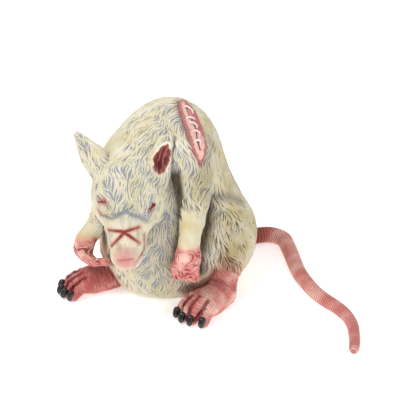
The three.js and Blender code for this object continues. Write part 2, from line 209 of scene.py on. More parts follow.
def surfaceNet(field, low, high, size):  # the closed mesh of a field inside a box, as points and quads
    low = np.array(low, float)
    counts = np.ceil((np.array(high) - low) / size).astype(int) + 1
    values = fieldOnGrid(field, low, counts, size)

    # one point in each cell that the surface crosses, in the middle of its crossings
    total = np.zeros((*(counts - 1), 3))
    crossings = np.zeros(counts - 1)
    for axis in range(3):
        others = [a for a in range(3) if a != axis]
        for shifts in ((0, 0), (0, 1), (1, 0), (1, 1)):
            first = [slice(0, -1)] * 3
            second = [slice(0, -1)] * 3
            second[axis] = slice(1, None)
            for other, shift in zip(others, shifts):
                first[other] = second[other] = slice(shift, counts[other] - 1 + shift)
            va, vb = values[tuple(first)], values[tuple(second)]
            crossed = (va < 0) != (vb < 0)
            total[..., axis] += np.where(crossed, va / np.where(crossed, va - vb, 1), 0)
            for other, shift in zip(others, shifts):
                total[..., other] += np.where(crossed, shift, 0)
            crossings += crossed
    used = crossings > 0
    number = np.full(used.shape, -1)
    number[used] = np.arange(used.sum())
    points = low + size * (np.argwhere(used) + total[used] / crossings[used][:, None])

    # one quad round each edge of the grid that the surface crosses, turned to face outward
    inside = values < 0
    quads = []
    for axis, u, v in ((0, 1, 2), (1, 2, 0), (2, 0, 1)):
        first, second = [slice(None)] * 3, [slice(None)] * 3
        first[axis], second[axis] = slice(0, -1), slice(1, None)
        a, b = inside[tuple(first)], inside[tuple(second)]
        for here in (True, False):
            edges = np.argwhere((a != b) & (a == here))
            ring = []
            for du, dv in ((0, 0), (-1, 0), (-1, -1), (0, -1)):
                cell = edges.copy()
                cell[:, u] += du
                cell[:, v] += dv
                ring.append(number[tuple(cell.T)])
            quads.append(np.stack(ring if here else ring[::-1], 1))
    return points, np.concatenate(quads)


def makeObject(name, points, faces, material, masks=None):
    mesh = bpy.data.meshes.new(name)
    faces = np.asarray(faces)
    mesh.vertices.add(len(points))
    mesh.vertices.foreach_set("co", (np.asarray(points) * mm).astype(np.float32).ravel())
    mesh.loops.add(faces.size)
    mesh.loops.foreach_set("vertex_index", faces.ravel().astype(np.int32))
    mesh.polygons.add(len(faces))
    mesh.polygons.foreach_set("loop_start", np.arange(0, faces.size, faces.shape[1], dtype=np.int32))
    mesh.polygons.foreach_set("loop_total", np.full(len(faces), faces.shape[1], dtype=np.int32))
    mesh.polygons.foreach_set("use_smooth", np.ones(len(faces), bool))
    mesh.update(calc_edges=True)
    mesh.validate()
    for mask, values in (masks or {}).items():
        layer = mesh.attributes.new(mask, "FLOAT", "POINT")
        layer.data.foreach_set("value", clamp(values).astype(np.float32))
    mesh.materials.append(material)
    thing = bpy.data.objects.new(name, mesh)
    bpy.context.scene.collection.objects.link(thing)
    return thing


def handOver(piece, nodes):
    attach(piece, "root")
    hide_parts(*nodes)


# camera, floor and studio light

view = {
    "azimuth": 25.0,  # degrees, round from the front
    "elevation": 24.5,
    "distance": 983.0,  # mm
    "lens": 85.0,
    "sensor": 36.0,
    "pixels": 416,  # the picture's width and height, for what is placed by a pixel of it
    "aside": 30.0,  # mm from the body's axis to the middle of the picture
    "above": 60.0,
}
turned, tipped = math.radians(view["azimuth"]), math.radians(view["elevation"])
viewRight = Vector((math.cos(turned), math.sin(turned), 0))
level = math.cos(tipped)
viewBack = Vector((math.sin(turned) * level, -math.cos(turned) * level, math.sin(tipped)))
viewUp = viewBack.cross(viewRight)
cameraData = bpy.data.cameras.new("camera")
cameraData.lens = view["lens"]
cameraData.sensor_width = view["sensor"]
cameraData.clip_end = 20
camera = bpy.data.objects.new("camera", cameraData)
stand = (viewRight * view["aside"] + viewUp * view["above"] + viewBack * view["distance"]) * mm
camera.matrix_world = Matrix.Translation(stand) @ Matrix((viewRight, viewUp, viewBack)).transposed().to_4x4()
bpy.context.scene.collection.objects.link(camera)
bpy.context.scene.camera = camera
print("camera set")


def srgb(code):
    channels = [int(code[i : i + 2], 16) / 255 for i in (1, 3, 5)]
    return (*[c / 12.92 if c <= 0.04045 else ((c + 0.055) / 1.055) ** 2.4 for c in channels], 1.0)


def addNode(tree, kind, settings=None, inputs=None):
    node = tree.nodes.new(kind)
    for name, value in (settings or {}).items():
        setattr(node, name, value)
    for key, value in (inputs or {}).items():
        if isinstance(value, bpy.types.NodeSocket):
            tree.links.new(value, node.inputs[key])
        else:
            node.inputs[key].default_value = value
    return node


def newMaterial(name):
    material = bpy.data.materials.new(name)
    material.use_nodes = True
    material.node_tree.nodes.clear()
    return material, material.node_tree


def finishMaterial(tree, inputs):
    shader = addNode(tree, "ShaderNodeBsdfPrincipled", inputs=inputs)
    addNode(tree, "ShaderNodeOutputMaterial", inputs={"Surface": shader.outputs[0]})


studio = {
    "floor": "#ffffff",
    "floorSize": 3000,  # mm from the middle to each side
    "floorGlow": 0.45,
    "world": 0.55,
    "lamps": {  # place and width in m, and watts
        "keyLight": ((-0.45, -0.75, 1.5), 0.6, 12.6),
        "fillLight": ((1.4, -0.6, 0.9), 1.0, 5.0),
    },
}

# matt white paper, lit from below so that it fades into the white behind it
floorMaterial, tree = newMaterial("whitePaperSweep")
sweep = {"Base Color": srgb(studio["floor"]), "Roughness": 0.9, "Emission Color": srgb(studio["floor"])}
finishMaterial(tree, {**sweep, "Emission Strength": studio["floorGlow"]})
reach = studio["floorSize"]
corners = [[-reach, -reach, 0], [reach, -reach, 0], [reach, reach, 0], [-reach, reach, 0]]
makeObject("floor", corners, [[0, 1, 2, 3]], floorMaterial)

world = bpy.data.worlds.new("studio")
world.use_nodes = True
backdrop = world.node_tree.nodes["Background"]
sight = addNode(world.node_tree, "ShaderNodeLightPath").outputs["Is Camera Ray"]
strength = addNode(
    world.node_tree, "ShaderNodeMapRange", inputs={"Value": sight, "To Min": studio["world"], "To Max": 1.0}
)
backdrop.inputs["Color"].default_value = (1, 1, 1, 1)
world.node_tree.links.new(strength.outputs[0], backdrop.inputs["Strength"])
bpy.context.scene.world = world
bpy.context.scene.view_settings.view_transform = "Standard"

for name, (at, width, power) in studio["lamps"].items():
    lamp = bpy.data.lights.new(name, "AREA")
    lamp.shape = "DISK"
    lamp.size = width
    lamp.energy = power
    holder = bpy.data.objects.new(name, lamp)
    holder.location = at
    holder.rotation_euler = (Vector((0, 0, 0.08)) - Vector(at)).to_track_quat("-Z", "Y").to_euler()
    bpy.context.scene.collection.objects.link(holder)
print("studio set")


# Painted latex: cast foam latex, sprayed with rubber paint and washed with thin dark paint that stays in the
# grooves, with a painted shade of brown and umber laid where the figure is enclosed. Matt to satin, never
# mirror-like. Masks on each piece say where each paint lies.

latex = {
    "cream": "#f1e8c6",
    "warmCream": "#e6d6a2",
    "ivory": "#faf5e6",
    "blueWash": "#7f8aa3",
    # the brown and umber of the painted shade in recesses and enclosed places
    "shadeBrown": "#4d3a26",
    "umber": "#2b2118",
    "pink": "#e0938a",
    "rose": "#c96f69",
    "palePink": "#f6cdc0",
    "redWash": "#962f2e",
    "deepRed": "#4e0509",
    "grooveInk": "#5a4f36",
}
paintSizes = {"blotches": 16.67, "specks": 2.38}  # mm, the sprayed paint's clouds and spatter
# dark lays the painted shade, with the muzzle's streaks and each stroke's uneven tone; deep lays dark red
maskNames = ("crest", "pink", "red", "deep", "blue", "dark", "pale")


def paintedLatex(name, roughness, grainSize, grainDepth):  # grain in mm: the skin of foam latex from a mould
    material, tree = newMaterial(name)
    place = addNode(tree, "ShaderNodeTexCoord").outputs["Object"]
    masks = {m: addNode(tree, "ShaderNodeAttribute", {"attribute_name": m}).outputs["Fac"] for m in maskNames}
    for key, size in paintSizes.items():
        noise = {"Vector": place, "Scale": 1 / (size * mm), "Detail": 3.0}
        masks[key] = addNode(tree, "ShaderNodeTexNoise", inputs=noise).outputs["Fac"]
    stretch = {"operation": "MULTIPLY_ADD", "use_clamp": True}
    for made, source, by, plus in (  # the masks again, with the contrast and strength that each paint needs
        ("blotches", "blotches", 3.0, -1.0),
        ("specks", "specks", 4.0, -1.5),
        ("valley", "crest", -1.25, 1.0),
        ("groove", "crest", -1.7, 1.0),
        ("ivoryCloud", "blotches", 0.7, 0.0),
        ("roseSpatter", "specks", 0.35, 0.0),
        ("washedValley", "valley", 0.85, 0.0),
    ):
        masks[made] = addNode(tree, "ShaderNodeMath", stretch, {0: masks[source], 1: by, 2: plus}).outputs[0]
    paints = {key: srgb(code) for key, code in latex.items()}
    for made, mask, under, over in (  # each paint lies over the one before it as far as its mask says
        ("fur", "blue", "warmCream", "cream"),
        ("fur", "ivoryCloud", "fur", "ivory"),
        ("wash", "blue", "grooveInk", "blueWash"),
        ("fur", "groove", "fur", "wash"),
        # painted shade: brown speckled with umber, laid over the fur where the dark mask says
        ("shadow", "specks", "shadeBrown", "umber"),
        ("fur", "dark", "fur", "shadow"),
        ("skin", "pale", "pink", "palePink"),
        ("skin", "roseSpatter", "skin", "rose"),
        ("skin", "washedValley", "skin", "redWash"),
        ("colour", "pink", "fur", "skin"),
        ("colour", "red", "colour", "redWash"),
        ("colour", "deep", "colour", "deepRed"),
    ):
        layers = {0: masks[mask], 6: paints[under], 7: paints[over]}
        paints[made] = addNode(tree, "ShaderNodeMix", {"data_type": "RGBA"}, layers).outputs[2]

    grain = {"Vector": place, "Scale": 1 / (grainSize * mm), "Detail": 2.0}
    grained = addNode(tree, "ShaderNodeTexNoise", inputs=grain).outputs["Fac"]
    raised = {"Height": grained, "Distance": grainDepth * mm, "Strength": 0.6}
    bump = addNode(tree, "ShaderNodeBump", inputs=raised).outputs["Normal"]
    surface = {"Roughness": roughness, "IOR": 1.5, "Specular IOR Level": 0.35}
    finishMaterial(tree, {**surface, "Base Color": paints["colour"], "Normal": bump})
    return material


furLatex = paintedLatex("mattCreamLatex", 0.62, 1.6, 0.25)
skinLatex = paintedLatex("satinPinkLatex", 0.5, 1.2, 0.25)  # handled parts, so a little smoother
print("latex mixed")


# the figure's forms, as in the solids

body = {"height": 178.0, "fingers": 4}
headPlace = placed((-12, -67, 142), 55, 0, 23)
footPlace = {"left": placed((69, -35, 0), 0, 0, -11), "right": placed((-38, -48, 0), 0, 0, -35)}

seat = egg((0, -1, 40), (71, 82, 70))
back = egg((-4, -6, body["height"] - 73), (51, 58, 73))
chest = egg((-4, -34, 98), (42, 36, 50))
neck = limb([[-6, -32, 124, 34], [-8, -62, 126, 25]])
torsoField = onFloor(blend(30, seat, back, chest, neck), 8)

thighFields = {
    "left": blend(14, egg((50, 10, 38), (24, 42, 38)), limb([[56, 0, 40, 20], [66, -27, 31, 15]])),
    "right": blend(14, egg((-49, 4, 38), (23, 42, 38)), limb([[-53, -4, 40, 20], [-47, -36, 30, 15]])),
}
arms = {
    "left": {
        "upper": [[40, -42, 138, 15.5], [45, -56, 122, 16], [47, -62, 109, 15]],
        "lower": [[47, -63, 108, 12.6], [50, -70, 88, 10.7], [50, -75.5, 74, 8.6]],
        "palm": (49.5, -77, 59),
        "palmRadii": (12.2, 11, 15),
        "fingers": [[50, -84, 52, 4.6], [50, -85, 44, 4.4], [49, -77, 41, 3.6]],
        "spread": (6, 0, 0.4),
    },
    "right": {
        "upper": [[-35, -40, 122, 15], [-39, -56, 98, 13], [-42, -62, 84, 12]],
        "lower": [[-42, -62, 84, 10.8], [-50, -68, 68, 9.5], [-57.5, -75, 55, 8.4]],
        "palm": (-58.5, -79.5, 47),
        "palmRadii": (8.8, 9, 12.5),
        "fingers": [[-55, -85, 41.5, 4.4], [-44, -86, 37.5, 4.2], [-32, -83, 39.5, 3.4]],
        "spread": (0.8, -3.6, 2),
    },
}
sides = ("left", "right")

skull = egg((0, -29, 0), (31, 30, 25), headPlace)
cheeks = [egg((16 * s, -41, -4), (15, 20, 17), headPlace) for s in (1, -1)]
brows = [limb([[4 * s, -49, 17, 5], [20 * s, -40, 18, 5.5]], headPlace) for s in (1, -1)]
muzzle = limb([[0, -50, 2, 19.5], [0, -74, 0, 17], [0, -86, -1, 13.5]], headPlace)
noseTip = egg((0, -92, -1), (12.5, 8, 10), headPlace)
jaw = limb([[0, -50, -14, 12], [0, -82, -12, 8]], headPlace)
headPlain = blend(7, blend(12, skull, *cheeks, muzzle), *brows, noseTip, jaw)

shoulders = [limb(arms[side]["upper"]) for side in sides]
trunk = blend(24, torsoField, *shoulders)  # the back runs into the arms without an edge
bodyWhole = onFloor(blend(10, trunk, *thighFields.values(), lambda p: headPlain(p) + 1.5), 6)


def masksOf(count, **values):
    return {m: np.broadcast_to(values.get(m, 0.0), (count,)).astype(float) for m in maskNames}


def seenAt(field, pixels):  # where a line of sight through each pixel of the picture meets a form
    pixels = np.atleast_2d(np.array(pixels, float))
    focal, middle = view["pixels"] * view["lens"] / view["sensor"], view["pixels"] / 2
    right, up, away = np.array(viewRight), np.array(viewUp), np.array(viewBack)
    aim = ((pixels[:, :1] - middle) * right - (pixels[:, 1:] - middle) * up) / focal - away
    aim /= np.linalg.norm(aim, axis=1)[:, None]
    eye = np.array(stand) / mm
    travelled = np.full(len(pixels), view["distance"] - 260)  # from just in front of the figure
    nearest = np.full(len(pixels), np.inf)
    best = travelled.copy()  # a line that misses keeps its closest place
    for _ in range(110):
        gap = field(eye + aim * travelled[:, None])
        closer = gap < nearest
        best, nearest = np.where(closer, travelled, best), np.where(closer, gap, nearest)
        travelled += np.clip(gap, -5, 12) * 0.8
    return eye + aim * best[:, None]


def tracedOn(field, pixels, every=1.5):  # a line drawn in the picture, laid on the form it crosses
    pixels = np.array(pixels, float)
    lengths = np.concatenate([[0], np.cumsum(np.linalg.norm(np.diff(pixels, axis=0), axis=1))])
    even = np.linspace(0, lengths[-1], max(2, int(lengths[-1] / every) + 1))
    return seenAt(field, np.stack([np.interp(even, lengths, pixels[:, k]) for k in (0, 1)], 1))


ears = {  # in the head's own place, with the way that each opening faces
    "left": {
        "root": (23, -22, 5), "tip": (36, 18, 9),
        "opening": (0.75, -0.1, 0.66), "rim": (-3.4, 1.2, 3.0),
    },
    "right": {"root": (-24, -13, -2), "tip": (-51, 23, -13), "opening": (-0.45, -0.3, -0.85)},
    "shell": [(0, 12), (0.4, 11), (0.75, 6.5), (1, 2.4)],  # share of the length, radius
    "hollow": [(0.12, 8, 7), (0.45, 8, 6.8), (0.85, 4.2, 2)],  # share, step towards the opening, radius
    "fullRim": [(0.1, 8), (0.45, 7.5), (0.8, 4)],
}
lens = {  # the left ear's opening faces the front: a pointed lens, traced in the picture
    "pixels": [(168, 145.5), (166, 151), (163, 159), (161, 166.5), (159.8, 172.5)],
    "forward": [0.3, 1.6, 2.2, 1.6, 0.3],
    "radii": [0.9, 5.2, 8.0, 5.6, 0.9],
}


def earParts(ear):
    root, tip, opening = (np.array(ear[k], float) for k in ("root", "tip", "opening"))
    opening /= np.linalg.norm(opening)
    shell = limb([[*(root + (tip - root) * s), r] for s, r in ears["shell"]], headPlace)
    hollow = [[*(root + (tip - root) * s + opening * step), r] for s, step, r in ears["hollow"]]
    if "rim" in ear:
        rim = [[*(root + (tip - root) * s + np.array(ear["rim"])), r] for s, r in ears["fullRim"]]
        shell = blend(5, shell, limb(rim, headPlace))
    return shell, limb(hollow, headPlace)


earShells, earHollows = zip(*[earParts(ears[side]) for side in sides])
lensAt = seenAt(earShells[0], lens["pixels"]) + np.array(lens["forward"])[:, None] * np.array(viewBack)
earHollows = (limbAlong(lensAt, lens["radii"]), earHollows[1])

recesses = {  # dark hollows, traced in the picture, with their width and depth in mm
    "haunchFront": (
        [(213, 200), (211, 212), (209, 225), (206, 236), (202, 247), (200, 258), (201, 272)],
        5.5, 6.5,
    ),
    "haunchTop": ([(213, 200), (221, 196), (232, 196), (243, 201)], 5.0, 2.2),
    "armpit": ([(174, 177), (176, 190), (178, 203), (181, 216)], 6.2, 7.0),
}
recessPaths = {key: tracedOn(bodyWhole, line, 3) for key, (line, _, _) in recesses.items()}
bodyPlain = grooved(
    bodyWhole, *[lineCut(recessPaths[key], width, depth) for key, (_, width, depth) in recesses.items()]
)
# the recesses' floors, where painted shade is laid as well
recessFloors = {
    key: path - normalsOf(bodyWhole, path) * recesses[key][2] * 0.9
    for key, path in recessPaths.items()
}
for hollow in earHollows:
    bodyPlain = carve(1.5, bodyPlain, lambda p, hollow=hollow: hollow(p) - 1.2)


# hands and forearms: one skin from the sleeve's edge at the elbow to the fingertips
def handField(side):
    arm = arms[side]
    fingers = []
    for n in range(body["fingers"]):
        step = np.array(arm["spread"]) * (n - 1.5)
        fingers.append(limb([[*(np.array(f[:3]) + step), f[3]] for f in arm["fingers"]]))
    palm = egg(arm["palm"], arm["palmRadii"])
    wrist = limb([arm["lower"][2], [*arm["palm"], 8.5]])
    return blend(4, palm, wrist, blend(1.5, *fingers))


handFields = {side: handField(side) for side in sides}
armFields = {side: blend(5, limb(arms[side]["lower"]), handFields[side]) for side in sides}


# feet: four toes with knuckles, an instep, a heel and a creased ankle
footSizes = {
    "length": 62.0,
    "toes": 4,
    "toeSpacing": 7.8,
    "reach": (0.93, 1.0, 1.0, 0.95),  # of the length, toe by toe
    "shift": {"left": (-3.2, -2.4, -1.6, 0.6), "right": (0, 0, 0, 0)},  # mm: the toes stand unevenly apart
    "knuckles": ((0.64, 16.0), (0.75, 14.8), (0.86, 11.6)),  # share of the toe, height
}
ankles = {
    "left": limb([[68, -45, 13, 12], [66, -34, 22, 13.5]]),
    "right": limb([[-39, -57, 13, 11.5], [-44, -42, 28, 15]]),
}


def footParts(side):
    place, length = footPlace[side], footSizes["length"]
    middle = (footSizes["toes"] - 1) / 2
    shift = footSizes["shift"][side]
    toes, knuckles, claws, clefts = [], [], [], []
    for n in range(footSizes["toes"]):
        x, tip = (n - middle) * footSizes["toeSpacing"] + shift[n], length * footSizes["reach"][n]
        bend = [[0.7 * x, -0.55 * tip, 12, 5.6], [x, -0.78 * tip, 11, 5], [1.08 * x, -0.93 * tip, 4.3, 4.7]]
        toes.append(limb(bend, place))
        for share, z in footSizes["knuckles"]:
            knuckles.append(egg((x * (0.6 + 0.5 * share), -share * tip, z), (3.4, 2.4, 3.6), place))
        clawRoot = egg((1.08 * x, -0.97 * tip, 8.2), (3.4, 3.2, 3.2), place)
        clawTip = egg((1.08 * x, -1.0 * tip, 5.0), (3.1, 3.0, 4.0), place)
        claws.append(blend(1.5, clawRoot, clawTip))
        if n + 1 < footSizes["toes"]:
            between = (n - middle + 0.5) * footSizes["toeSpacing"] + (shift[n] + shift[n + 1]) / 2
            shares = np.linspace(0.62, 0.98, 8)
            clefts.append([(between * (0.6 + 0.5 * s), -s * length, 17 - 10 * s**3) for s in shares])
    instep = egg((0, -0.42 * length, 9), (15, 0.4 * length, 12), place)
    heel = limb([[0, -9, 8.5, 10], [0, -0.45 * length, 9.5, 12]], place)
    plain = onFloor(blend(8, instep, heel, blend(1.5, *toes)), 1.5)
    shaped = onFloor(blend(1.2, blend(10, plain, ankles[side]), *knuckles), 2)
    return shaped, claws, clefts


feet = {side: footParts(side) for side in sides}

everything = blend(2, bodyPlain, headPlain, *armFields.values(), *[feet[side][0] for side in sides])


def shade(points, normals, reach=8.0):  # how enclosed a place is, from 0 in the open to 1 deep in a recess
    out = everything(points + normals * reach)
    return clamp(1.1 - out / reach)


def creases(points, size, seed):  # thin folds wandering over skin, 1 on a fold
    return clamp(1 - np.abs(waves(points, size, seed)) * 3.2)


# the coat: raised strokes of moulded fur that follow a flow over the skin

coats = {  # mm, with each coat's strokes as they stand on average
    "bodyCoat": {"spacing": 2.85, "length": 12, "halfWidth": 0.78, "height": 1.05},
    "headCoat": {"spacing": 2.7, "length": 10.5, "halfWidth": 0.74, "height": 0.95},
    "muzzleCoat": {"spacing": 1.9, "length": 5.5, "halfWidth": 0.55, "height": 0.5},
}
stroke = {
    "steps": 7,  # lengths along each stroke
    "sink": 0.5,  # mm that its foot lies under the skin
    "bends": ((34, 0.55, 11), (13, 0.45, 12)),  # mm from bend to bend, radians, seed: strokes wave together
    "stray": 0.12,  # radians that each strays from its neighbours
}


def strokeRoots(field, points, quads, spacing, keep):  # evenly scattered places on a skin
    a, b, c, d = (points[quads[:, i]] for i in range(4))
    area = np.linalg.norm(np.cross(c - a, d - b), axis=1)
    count = int(area.sum() / 2 / spacing**2 * 6)  # more than are kept, so that no place stays bare
    chosen = rng.choice(len(quads), count, p=area / area.sum())
    u, v = rng.random((2, count, 1))
    at = (a[chosen] * (1 - u) + b[chosen] * u) * (1 - v) + (d[chosen] * (1 - u) + c[chosen] * u) * v
    at = at[keep(at)]
    cell = np.floor(at / spacing).astype(int)
    _, first = np.unique(cell, axis=0, return_index=True)
    return ontoSurface(field, at[np.sort(first)], passes=2)


def strokeFaces(steps):  # a three-sided bar closed at both ends, from rows of left, crest and right
    faces = [[0, 2, 1]]
    for k in range(steps):
        left, crest, right = 3 * k, 3 * k + 1, 3 * k + 2
        for a, b in ((left, crest), (crest, right), (right, left)):
            faces += [[a, b, b + 3], [a, b + 3, a + 3]]
    faces.append([3 * steps, 3 * steps + 1, 3 * steps + 2])
    return np.array(faces)


def bakePlaces(roots, normals, faces):  # a small patch for each stroke on an unwrap of the skin by six sides
    facing = np.abs(normals).argmax(1)
    rows = np.arange(len(roots))
    positive = normals[rows, facing] > 0
    u = (roots[rows, (facing + 1) % 3] + 110) / 300
    v = (roots[rows, (facing + 2) % 3] + 140) / 330
    base = np.stack([facing / 3 + u * 0.32, positive * 0.5 + v * 0.48], 1)
    corner = np.arange((stroke["steps"] + 1) * 3)
    patch = np.stack([corner // 3 / stroke["steps"], corner % 3 / 2], 1) * 0.003
    return (base[:, None, None] + patch[faces][None]).astype(np.float32).ravel()


def growStrokes(name, field, roots, flow, paint, nodes):  # tapered strokes that start at the roots
    coat, steps, count = coats[name], stroke["steps"], len(roots)
    size = rng.uniform(0.75, 1.25, count)
    stray = rng.normal(0, stroke["stray"], count)
    at = roots.copy()
    stations = []
    for k in range(steps + 1):
        value, slope = slopeOf(field, at)
        normal = unit(slope)
        at = at - normal * value[:, None]
        if k == 0:
            rootNormal = normal
        way = flow(at, normal)
        way = unit(way - (way * normal).sum(1)[:, None] * normal)
        side = np.cross(normal, way)
        turn = sum(by * waves(at, apart, seed) for apart, by, seed in stroke["bends"]) + stray
        way = way * np.cos(turn)[:, None] + side * np.sin(turn)[:, None]
        side = np.cross(normal, way)
        share = k / steps
        fat = 0.12 + 0.88 * math.sin(math.pi * min(share * 0.92 + 0.06, 1)) ** 0.6
        fat = fat * coat["halfWidth"] * size
        tall = (0.1 + 0.9 * math.sin(math.pi * (share * 0.9 + 0.08)) ** 0.7) * coat["height"] * size
        low = at - normal * stroke["sink"]
        row = [low - side * fat[:, None], at + normal * tall[:, None], low + side * fat[:, None]]
        stations.append(np.stack(row, 1))
        at = at + way * (coat["length"] * size / steps)[:, None]
    verts = np.stack(stations, 1).reshape(count, -1, 3)
    faces, perStroke = strokeFaces(steps), verts.shape[1]
    perPiece = 190000 // len(faces)
    for index, start in enumerate(range(0, count, perPiece), 1):
        group = slice(start, start + perPiece)
        flat, number = verts[group].reshape(-1, 3), len(verts[group])
        corners = (faces[None] + (np.arange(number) * perStroke)[:, None, None]).reshape(-1, 3)
        crest = np.tile([0.02, 1.0, 0.02], (number, steps + 1)).ravel()
        tone = np.repeat(rng.uniform(0.75, 1.0, number), perStroke)  # no two strokes are painted quite alike
        masks = paint(flat, np.repeat(rootNormal[group], perStroke, axis=0), crest * tone)
        masks["dark"] = clamp(masks["dark"] + (1 - tone) * 0.3)
        piece = makeObject(f"{name}{index}", flat, corners, furLatex, masks)
        layer = piece.data.uv_layers.new(name="OFBake")
        layer.data.foreach_set("uv", bakePlaces(roots[group], rootNormal[group], faces))
        handOver(piece, nodes)
    print(name, count, "strokes")


# where the wound lies: the coat keeps clear of it

wound = {
    "edges": [  # left and right in the picture, from the top down
        [(181, 103), (184, 101.2)],
        [(180, 108.3), (190.5, 107)],
        [(182, 115), (195, 114)],
        [(184.5, 124), (199, 123)],
        [(187, 132), (202, 132)],
        [(190, 141), (204.2, 141)],
        [(192.5, 149), (205, 150)],
        [(196.5, 158), (203.6, 158)],
        [(199.8, 163.5), (200.8, 163.8)],
    ],
    "slit": [(186, 108), (189.6, 117), (195, 129), (197, 140), (200, 150)],
    "borderHeight": 1.9,  # mm over the body
    "fieldHeight": 1.0,
    "slitDepth": 1.7,
    "cell": 0.5,
}
woundLeft, woundRight = (seenAt(bodyPlain, [pair[k] for pair in wound["edges"]]) for k in (0, 1))
woundAt = ontoSurface(bodyPlain, (woundLeft + woundRight) / 2)
_, woundUp = slopeOf(bodyPlain, woundAt)
woundAcross = unit(np.cross(np.gradient(woundAt, axis=0), woundUp))
woundHalf = np.abs(((woundRight - woundLeft) * woundAcross).sum(1)) / 2 + 0.3
woundSlit = tracedOn(bodyPlain, wound["slit"])
woundBand = limbAlong(woundAt, woundHalf)


# body: its skin lies a little inside the solids, because the coat of strokes stands on it

hide = {
    "inset": 0.8,  # mm
    "cell": 2.0,
    "coatFrom": (25, 45, 200),  # the coat spreads from behind the top of the back
    "tailSpot": (30, 64, 9),  # pink where the tail leaves the body
    "armShade": ((44, -52, 118), (26, 30, 34)),  # middle and reach of the painted shade on the left upper arm
}
bodyNodes = ("torso", "thigh_left", "thigh_right", "upper_arm_left", "upper_arm_right")
footNear = blend(2, *[feet[side][0] for side in sides])


def bodyField(points):
    return bodyPlain(points) + hide["inset"]


def aside(points):  # mm towards the right of the picture
    return points[:, 0] * 0.9 + points[:, 1] * 0.42


def furPaint(points, normals, crest):
    closed = shade(points, normals)
    low = clamp(1 - points[:, 2] / 70)
    warm = clamp((aside(points) - 18) / 30)
    blue = clamp(0.85 + 0.3 * waves(points, 70, 3) - 0.35 * low - 0.75 * warm)
    pink = np.exp(-np.clip(footNear(points), 0, None) / 5) * 0.75
    pink += 0.8 * np.exp(-gapTo(points, hide["tailSpot"]) ** 2 / 150)
    pink = np.maximum(pink, 0.55 * np.exp(-np.clip(woundBand(points), 0, None) / 1.6))
    # painted shade: darker where enclosed, along the recesses and their floors, and on the left upper arm
    dark = np.clip((closed - 0.5) * 1.4, 0, 0.9)
    for key, (_, width, depth) in recesses.items():
        near = np.maximum(*[nearPath(points, paths[key], width) for paths in (recessPaths, recessFloors)])
        dark = np.maximum(dark, np.clip(near * depth / 4.5, 0, 0.97))
    middle, reach = hide["armShade"]
    inArm = clamp(1 - np.linalg.norm((points - middle) / reach, axis=1))
    dark = np.maximum(dark * (1 - 0.12 * crest), 0.5 * inArm)
    rough = clamp((aside(points) - 8) / 25) * clamp((125 - points[:, 2]) / 30)
    crest = clamp(crest - 0.06 * rough)
    return masksOf(len(points), crest=crest, blue=blue, pink=pink, red=pink * (1 - crest) * 0.6, dark=dark)


points, quads = surfaceNet(bodyField, (-80, -110, -4), (86, 90, 184), hide["cell"])
skinPaint = furPaint(points, normalsOf(bodyField, points), np.full(len(points), 0.1))
handOver(makeObject("bodySkin", points, quads, furLatex, skinPaint), bodyNodes)
print("body skin", len(quads))


def bodyFlow(points, normals):
    way = np.array([0, 0, -1.0]) * clamp((182 - points[:, 2]) / 50)[:, None]
    way = way + 0.8 * unit(points - hide["coatFrom"])
    haunch = clamp(1 - np.abs(points[:, 1] - 5) / 50) * clamp(1 - points[:, 2] / 90)
    way[:, 1] += haunch * 0.9
    return way


def bodyKeep(points):
    clear = (headPlain(points) > 2) & (woundBand(points) > 0.8) & (footNear(points) > -1)
    for side in sides:
        clear &= armFields[side](points) > -1
    return clear & (points[:, 2] > 2.5)


roots = strokeRoots(bodyField, points, quads, coats["bodyCoat"]["spacing"], bodyKeep)
coatGuide = blend(3, bodyField, *armFields.values())  # strokes at the sleeve's end lie over the forearm
growStrokes("bodyCoat", coatGuide, roots, bodyFlow, furPaint, bodyNodes)


# head and ears

face = {  # lines of the face, traced in the picture
    "crease": [
        (101, 215), (111, 219), (122, 214), (126.6, 212), (131.6, 215.4), (139.6, 217.6), (147.6, 221),
    ],
    "scarA": [(107.7, 230), (123, 231.7), (140.7, 243.4)],
    "scarB": [(139.6, 227), (125, 231.7), (110.8, 246.5)],
    "noseLine": [(117, 260.6), (125, 260.2), (133, 259.3)],
    "mouth": [(145, 235), (145, 244), (143, 253), (137, 262)],
    "eyeLeft": [(150.2, 209), (153.6, 204.8)],
    "lidLeft": [(147.3, 212.5), (151, 212), (154.6, 208.5)],
    "eyeRight": [(98.5, 201.8), (104, 202)],
    "underRight": [(98, 209), (100, 214)],
}
onFace = {name: tracedOn(headPlain, path) for name, path in face.items()}
noseAt = seenAt(headPlain, [(125, 262)])[0]
faceCuts = {  # width and depth in mm of the lines that are pressed in
    "crease": (1.6, 1.3),
    "scarA": (0.9, 1.5),
    "scarB": (0.9, 1.5),
    "noseLine": (0.7, 0.8),
    "mouth": (1.2, 1.3),
    "lidLeft": (0.7, 0.8),
    "underRight": (1.0, 0.7),
}
scarStrokes = []  # each cut is widest at its middle
for key in ("scarA", "scarB"):
    wide = 1.15 * np.sin(np.linspace(0.06, 0.94, len(onFace[key])) * math.pi) ** 0.7 - 0.15
    scarStrokes.append(limbAlong(onFace[key], wide))

headSolid = blend(4, headPlain, *earShells)
for hollow in earHollows:
    headSolid = carve(1.5, headSolid, hollow)
headField = grooved(
    lambda points: headSolid(points) + 0.3,
    *[lineCut(onFace[key], width, depth) for key, (width, depth) in faceCuts.items()],
)


